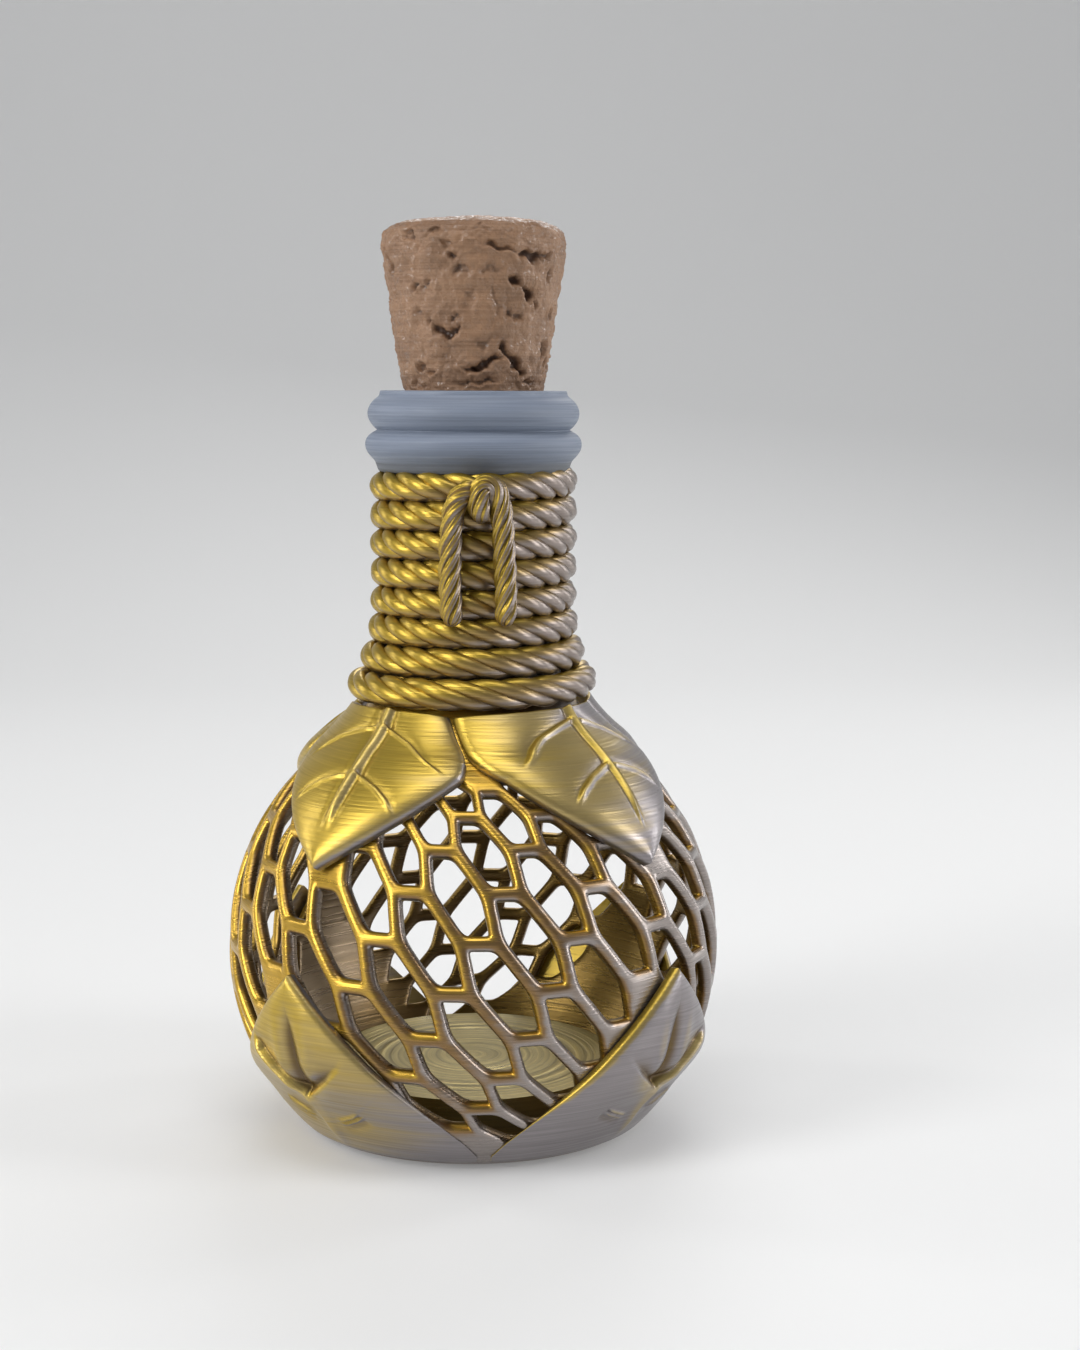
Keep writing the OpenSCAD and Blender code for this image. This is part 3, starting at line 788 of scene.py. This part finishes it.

# Lip collar: a ring in matte slate grey with two round beads, a band under them that tapers
# in and is painted dark as shade, and a small upright rim on top. Its bore tapers with the cork.
neck_top_z = 0.1069
bore_low_r, bore_high_r = 0.00943, 0.0112
bore_slope = 0.15
collar_h = 0.0118
band_low_z, band_high_z = neck_top_z + 0.0002, neck_top_z + 0.0012
collar_side = [
    (12.2, -1.0), (14.6, -1.1), (15.2, -1.0), (15.45, -0.3), (15.72, 0.6), (16.0, 0.95),
    (16.6, 1.5), (17.18, 2.35), (17.38, 3.3), (17.2, 4.2), (16.5, 5.0), (15.7, 5.42),
    (15.3, 5.6), (15.7, 5.8), (16.3, 6.45), (16.8, 7.3), (16.98, 8.2), (16.8, 9.1),
    (16.25, 10.0), (15.55, 10.6), (15.12, 10.9), (14.98, 11.25), (14.92, 11.72),
]
collar_line = (
    [(bore_low_r, 0.0)]
    + [(r * mm, z * mm) for r, z in collar_side]
    + [(r * mm, collar_h) for r in (14.8, 14.4, 12.0, 11.5)]
    + [(bore_high_r, 11.5 * mm)]
    + [(bore_high_r - bore_slope * down * mm, collar_h - down * mm) for down in (2, 6)])


# A turned piece: a ring that is drawn up and scaled from one point of its outline to the
# next. It is left in edit mode, open or with a filled foot, for its last steps.
def turned(name, line, base_z, sides, fill):
    (r, z), *rest = line
    bpy.ops.mesh.primitive_circle_add(
        vertices=sides, radius=r, location=(0, 0, base_z + z), fill_type=fill)
    piece = bpy.context.object
    piece.name = name
    bpy.ops.object.transform_apply(location=True)
    bpy.ops.object.mode_set(mode="EDIT")
    bpy.ops.mesh.select_mode(type="EDGE")
    bpy.ops.mesh.select_all(action="SELECT")
    if fill != "NOTHING":
        bpy.ops.mesh.region_to_loop()
    for next_r, next_z in rest:
        rise, growth = next_z - z, next_r / r
        bpy.ops.mesh.extrude_region_move(TRANSFORM_OT_translate={"value": (0, 0, rise)})
        bpy.ops.transform.resize(
            value=(growth, growth, 1), center_override=(0, 0, base_z + next_z))
        r, z = next_r, next_z
    return piece


collar = turned("lip_ring", collar_line, base_z=neck_top_z, sides=64, fill="NOTHING")
bpy.ops.mesh.select_all(action="DESELECT")
bpy.ops.mesh.select_non_manifold()
bpy.ops.mesh.bridge_edge_loops()
bpy.ops.object.mode_set(mode="OBJECT")
finish_modifier(collar, "SUBSURF", levels=2, render_levels=2)
close_up(collar)

slate_finish, slate_tree, slate_face = new_finish("slate_plastic")
slate_place = put(slate_tree, "ShaderNodeTexCoord").outputs["Object"]
slate_height = put(slate_tree, "ShaderNodeSeparateXYZ", {"Vector": slate_place}).outputs["Z"]
slate_lines = speckle(slate_tree, slate_place, (40, 40, 3600))
slate_bands = speckle(slate_tree, slate_place, (16, 16, 1300))
slate_tone = blended(
    slate_tree, between(slate_tree, slate_lines, 0.3, 0.7),
    (0.165, 0.195, 0.255, 1), (0.20, 0.235, 0.305, 1))
plug(slate_tree, slate_face, {
    "Base Color": slate_tone,
    "Roughness": between(slate_tree, slate_lines, 0.3, 0.7, 0.62, 0.45),
    "Normal": bumped(slate_tree, slate_lines, 0.6),
})
band_painted_shade = between(slate_tree, slate_height, band_high_z, band_low_z, 0.0, 0.6)
tint(slate_finish, between(slate_tree, slate_bands, 0.35, 0.7, 0, 0.2), (0.27, 0.30, 0.355, 1))
# Painted shade: the band under the beads is darkened.
tint(slate_finish, band_painted_shade, (0.065, 0.062, 0.05, 1))
collar.data.materials.append(slate_finish)
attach(collar, "bottle")
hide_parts("lip_collar")

# Cork: a tapered stopper in matte brown that lifts out of the lip. It is carved like old
# cork, with gouges, pits and worn hollows all round and a domed, uneven top.
cork_line = [
    (3.0, 104.72), (6.0, 104.72), (8.1, 104.74), (8.75, 105.2), (8.95, 106.0), (9.4, 109.0),
    (10.1, 113.5), (10.7, 117.5), (11.0, 119.1), (11.6, 121.7), (12.15, 124.2), (12.7, 128.0),
    (13.2, 131.7), (13.75, 135.4), (14.35, 139.0), (14.6, 141.0), (14.55, 142.3), (14.1, 143.5),
    (13.0, 144.35), (11.3, 144.85), (9.0, 145.2), (6.0, 145.45), (3.0, 145.6),
]
cork = turned(
    "carved_cork", [(r * mm, z * mm) for r, z in cork_line], base_z=0, sides=48, fill="TRIFAN")
bpy.ops.mesh.extrude_region_move(TRANSFORM_OT_translate={"value": (0, 0, 0)})
bpy.ops.mesh.merge(type="CENTER")
bpy.ops.mesh.select_all(action="SELECT")
bpy.ops.mesh.subdivide(number_cuts=7, smoothness=0)
bpy.ops.mesh.remove_doubles(threshold=1e-7)
bpy.ops.mesh.normals_make_consistent(inside=False)
bpy.ops.object.mode_set(mode="OBJECT")

# Gouges seen in front: azimuth, height in mm, half length, half width, slant and depth.
# More of them are drawn by lot for the back.
cork_gouges = [
    (14, 140.3, 3.4, 0.50, -12, 1.0), (36, 139.2, 3.0, 0.85, -6, 1.9),
    (50, 139.5, 1.4, 0.6, 20, 1.2), (-16, 139.2, 0.9, 0.4, 0, 0.9),
    (-10, 137.0, 2.0, 0.75, 2, 0.8), (8, 137.0, 2.6, 0.8, 5, 0.7),
    (25, 135.3, 1.5, 0.85, -38, 1.8), (36, 133.5, 1.6, 0.95, -48, 2.1),
    (43, 131.9, 0.8, 0.7, -60, 1.6), (-45, 134.7, 1.0, 0.7, 0, 1.3),
    (-36, 134.9, 1.3, 0.40, 14, 1.0), (-44, 130.7, 1.1, 0.55, -12, 1.3),
    (-35.6, 129.3, 0.45, 0.35, 0, 0.8), (-15.4, 129.7, 1.0, 0.42, 0, 0.9),
    (-29, 128.0, 1.3, 0.55, -38, 1.4), (-21, 127.4, 1.6, 0.75, 0, 1.7),
    (-14, 128.1, 1.0, 0.5, 42, 1.2), (22, 130.1, 0.8, 0.5, -15, 0.9),
    (29, 129.9, 1.1, 0.65, -8, 1.3), (20, 124.9, 1.5, 0.75, -44, 1.7),
    (30, 123.0, 1.9, 0.85, -50, 2.1), (37, 121.6, 0.9, 0.7, -60, 1.6),
    (-6, 122.0, 1.3, 0.7, -10, 1.5), (2, 122.3, 1.6, 0.8, 12, 1.8),
    (12, 123.5, 1.4, 0.75, 20, 1.6), (20, 123.9, 0.8, 0.5, 10, 1.1),
    (-47, 122.3, 1.2, 0.6, -20, 1.3), (-38, 121.6, 1.0, 0.55, -12, 1.2),
    (-70, 138.2, 1.8, 0.8, -50, 1.5), (-68, 134.5, 0.8, 0.6, 0, 1.2),
    (66, 130.4, 1.0, 0.7, -20, 1.4), (60, 125.0, 1.6, 0.85, 78, 1.8),
    (68, 123.0, 0.9, 0.6, 80, 1.3), (50, 119.9, 2.4, 0.6, -8, 1.1),
    (-55, 119.5, 2.4, 0.5, -6, 0.9), (0, 120.0, 4.6, 0.55, 8, 0.8),
    (-47, 142.3, 1.6, 0.7, -28, 0.9), (-28, 142.6, 1.8, 0.6, 8, 0.6),
    (-20, 140.9, 1.2, 0.5, -40, 0.8), (2, 143.3, 1.6, 0.4, 0, 0.5),
    (56, 136.4, 1.2, 0.6, 60, 1.1), (-5, 132.6, 2.2, 0.9, 70, 0.45),
    (12, 131.9, 2.4, 0.9, -65, 0.45), (-30, 124.6, 2.0, 0.9, 10, -0.5),
    (4, 125.9, 1.4, 0.6, 30, 0.8),
]
back_gouges = 60
luck = np.random.default_rng(7)
for _ in range(back_gouges):
    cork_gouges.append((
        80 + luck.random() * 200, 120 + luck.random() * 22, 0.7 + 2.4 * luck.random() ** 2,
        0.45 + 0.5 * luck.random(), luck.choice([-1, 1]) * luck.random() * 60,
        0.8 + 1.2 * luck.random()))
places = corner_places(cork.data) / mm
radius = np.hypot(places[:, 0], places[:, 1])
azimuth = np.degrees(np.arctan2(places[:, 0], -places[:, 1]))
side_share = smooth(radius, 7.5, 10.5)
dent = np.zeros(len(places))
for gouge_azimuth, gouge_z, half_long, half_wide, slant, depth in cork_gouges:
    away = (azimuth - gouge_azimuth + 180) % 360 - 180
    over = np.radians(away) * radius
    up = places[:, 2] - gouge_z
    wander = 0.25 * np.sin(over * 2.3 + gouge_z) + 0.18 * np.sin(up * 3.1 + gouge_azimuth)
    turn = math.radians(slant)
    along = over * math.cos(turn) + up * math.sin(turn)
    across = -over * math.sin(turn) + up * math.cos(turn) + wander
    far = np.sqrt((along / half_long) ** 2 + (across / half_wide) ** 2)
    side = np.clip(across / half_wide, -1, 1)
    pit = depth * (1 - smooth(far, 0.50, 1.08)) * (0.75 + 0.25 * side)
    raised = -0.20 * depth * np.exp(-(((far - 1.35) / 0.3) ** 2)) * (side < 0)
    dent += np.where(np.abs(away) < 60, pit + raised, 0) * side_share

# The whole cork is uneven, least where it sits in the lip. A dent goes in on the sides
# and down on the top.
hollows = np.array([
    noise.fractal(Vector((x * 0.33, y * 0.33, z * 0.5)), 0.9, 2.1, 5) for x, y, z in places])
ripples = np.array([noise.noise(Vector((x * 1.3, y * 1.3, z * 2.2))) for x, y, z in places])
outside = smooth(places[:, 2], 117.6, 119.6)
on_top = smooth(places[:, 2], 143.6, 145.2)
uneven = (0.42 * hollows + 0.18 * ripples + 0.08) * (0.15 + 0.85 * outside)
dent = np.maximum(dent * outside + uneven, -0.25)
shrink = dent * (1 - on_top) / np.maximum(radius, 1)
shape = places.copy()
shape[:, 0] *= 1 - shrink
shape[:, 1] *= 1 - shrink
shape[:, 2] -= (0.5 * dent - 0.1) * on_top
cork.data.vertices.foreach_set("co", (shape * mm).ravel())
# The dent is kept for the cork finish, which paints shade into the pits and gouges.
cork_pit = cork.data.attributes.new("pit", "FLOAT", "POINT")
cork_pit.data.foreach_set("value", dent.astype(np.float32))
close_up(cork)

cork_finish, cork_tree, cork_face = new_finish("carved_cork_brown")
cork_place = put(cork_tree, "ShaderNodeTexCoord").outputs["Object"]
cork_depth = put(cork_tree, "ShaderNodeAttribute", attribute_name="pit").outputs["Fac"]
cork_lines = speckle(cork_tree, cork_place, (60, 60, 2600))
cork_blots = speckle(cork_tree, cork_place, (190, 190, 260), 4.0)
cork_grains = put(cork_tree, "ShaderNodeTexNoise", {
    "Vector": cork_place, "Scale": 2600.0, "Detail": 1.0,
}).outputs[0]
cork_tone = blended(
    cork_tree, between(cork_tree, cork_blots, 0.3, 0.7),
    (0.195, 0.105, 0.055, 1), (0.285, 0.158, 0.085, 1))
plug(cork_tree, cork_face, {
    "Base Color": cork_tone,
    "Roughness": between(cork_tree, cork_grains, 0.58, 0.68, 0.60, 0.20),
    "Coat Weight": between(cork_tree, cork_grains, 0.52, 0.62, 0.0, 0.5),
    "Coat Roughness": 0.14,
    "Normal": bumped(cork_tree, combined(cork_tree, "ADD", cork_lines, cork_grains), 0.6),
})
tint(cork_finish, between(cork_tree, cork_lines, 0.35, 0.7, 0, 0.40), (0.36, 0.215, 0.125, 1))
# Painted shade: pits and gouges are darkened by their depth.
tint(cork_finish, between(cork_tree, cork_depth, 0.35, 1.2, 0, 0.88), (0.05, 0.022, 0.012, 1))
cork.data.materials.append(cork_finish)
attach(cork, "cork")
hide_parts("cork_stopper")

# Neck rope: one laid rope of four strands, wound eight times across the front from the
# collar down to the leaves. It is printed on the neck in the same silk.
rope_strand_r = 0.00121
rope_strand_out = 0.00128
rope_lay_angle = 70.4
rope_low, rope_high, rope_step = -2646, 126.1, 2.4


# A laid rope: strands that wind round its route, each with a round or a lobed section.
# They shrink and close up over the last end_run of the route at both ends.
def laid_rope(name, route, outward, twist, strands, strand_r, strand_out, end_run,
              sides=12, lobes=4, lobe_depth=0.0):
    along = np.gradient(route, axis=0)
    along /= np.linalg.norm(along, axis=1)[:, None]
    outward = outward - (outward * along).sum(1)[:, None] * along
    outward /= np.linalg.norm(outward, axis=1)[:, None]
    across = np.cross(along, outward)
    steps = np.linalg.norm(np.diff(route, axis=0), axis=1)
    run = np.concatenate([[0], np.cumsum(steps)])
    from_end = np.clip(np.minimum(run, run[-1] - run) / end_run, 0, 1)
    size = np.sqrt(np.clip(1 - (1 - from_end) ** 2, 0.03, 1))
    shape = bpy.data.curves.new(name + "_section", "CURVE")
    shape.dimensions = "2D"
    ring = shape.splines.new("POLY")
    ring.points.add(sides - 1)
    for i, point in enumerate(ring.points):
        turn = 2 * math.pi * i / sides
        r = strand_r * (1 + lobe_depth * math.cos(lobes * turn))
        point.co = (r * math.cos(turn), r * math.sin(turn), 0, 1)
    ring.use_cyclic_u = True
    section = bpy.data.objects.new(name + "_section", shape)
    lines = bpy.data.curves.new(name, "CURVE")
    lines.dimensions = "3D"
    lines.twist_mode = "MINIMUM"
    lines.bevel_mode = "OBJECT"
    lines.bevel_object = section
    lines.use_fill_caps = True
    for strand in range(strands):
        turn = twist + 2 * math.pi * strand / strands
        aside = outward * np.cos(turn)[:, None] + across * np.sin(turn)[:, None]
        line = route + strand_out * size[:, None] * aside
        spline = lines.splines.new("POLY")
        spline.points.add(len(line) - 1)
        weighted = np.concatenate([line, np.ones((len(line), 1))], axis=1)
        spline.points.foreach_set("co", weighted.ravel())
        spline.points.foreach_set("radius", size)
        spline.points.foreach_set("tilt", turn * 0.5)
        spline.use_smooth = True
    rope = bpy.data.objects.new(name, lines)
    bpy.context.collection.objects.link(rope)
    bpy.context.view_layer.objects.active = rope
    rope.select_set(True)
    bpy.ops.object.convert(target="MESH")
    bpy.data.objects.remove(section)
    close_up(rope)
    return rope


def winding_r(z):
    free = rope_r + rope_gap
    below = hollow_z - np.minimum(z, hollow_z)
    on_shoulder = hollow_r - np.sqrt((shoulder_r - free) ** 2 - below**2)
    return np.where(z > hollow_z, neck_r + free, on_shoulder)


rope_azimuth = np.arange(rope_low, rope_high, rope_step)
rope_turn = np.radians(rope_azimuth)
rope_z = rope_height(rope_azimuth) + rope_lift
neck_rope = laid_rope(
    "wound_rope", round_axis(winding_r(rope_z), rope_turn, rope_z),
    round_axis(1, rope_turn, 0 * rope_turn), rope_azimuth / rope_lay_angle * 2 * math.pi,
    strands=4, strand_r=rope_strand_r, strand_out=rope_strand_out, end_run=0.0015)
rope_silk = silk_finish(
    "rope_silk", gold=(0.45, 0.305, 0.038), bronze=(0.33, 0.225, 0.085),
    silver=(0.28, 0.235, 0.21), lean=0.02, relief=0.35, softer=-0.03)
neck_rope.data.materials.append(rope_silk)
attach(neck_rope, "bottle")
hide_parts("neck_rope")

# Rope tie: two thinner laid ends that hang over the winding in front. The right one turns
# over in a tight bight under the collar and ends in a short tail, and the left one tucks
# in behind it.
tie_r = 0.0017
tie_gap = 0.0003
tie_out = neck_r + 2 * rope_r + rope_gap + tie_gap + tie_r
tie_strand_r = 0.00069
tie_strand_out = 0.00101
tie_lay = 0.0145
tie_step = 0.2
tie_foot_z = 83.0
tie_smoothings = 10


# The points give the place across the front, the height and the way out, in mm
def tie_rope(name, points):
    points = np.array(points, float)
    lengths = np.linalg.norm(np.diff(points, axis=0), axis=1)
    run = np.concatenate([[0], np.cumsum(lengths)])
    steps = np.arange(0, run[-1] + 1e-9, tie_step)
    x, z, out = (np.interp(steps, run, points[:, i]) for i in range(3))
    for _ in range(tie_smoothings):
        for line in (x, z, out):
            line[1:-1] = (line[:-2] + 2 * line[1:-1] + line[2:]) / 4
    r = tie_out + out * mm
    turn = np.arcsin(x * mm / r)
    return laid_rope(
        name, round_axis(r, turn, z * mm), round_axis(1, turn, 0 * turn),
        steps * mm / tie_lay * 2 * math.pi, strands=5, strand_r=tie_strand_r,
        strand_out=tie_strand_out, end_run=0.0022, sides=24, lobes=6, lobe_depth=0.16)


right_bight = [
    (3.9, tie_foot_z, 0), (4.05, 86.0, 0), (3.95, 90.0, 0), (3.75, 94.0, 0), (3.5, 98.0, 0),
    (3.25, 100.6, 0), (2.9, 102.6, 0), (2.35, 103.9, 0), (1.5, 104.6, 0.1), (0.6, 104.6, 0.3),
    (0.0, 103.9, 0.5), (-0.2, 102.7, 0.6), (-0.15, 101.4, 0.4), (0.05, 100.1, 0.2),
    (0.45, 98.9, -0.2),
]
left_end = [
    (-4.2, tie_foot_z, 0), (-4.45, 86.0, 0), (-4.6, 91.0, 0), (-4.5, 95.0, 0), (-4.3, 98.5, 0),
    (-4.0, 100.8, 0), (-3.4, 102.3, 0), (-2.5, 103.2, -0.1), (-1.5, 103.7, -0.5),
    (-0.4, 104.1, -1.2),
]
for name, node, points in (
        ("tie_right", "rope_tie_right", right_bight), ("tie_left", "rope_tie_left", left_end)):
    tie = tie_rope(name, points)
    tie.data.materials.append(rope_silk)
    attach(tie, "bottle")
    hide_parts(node)
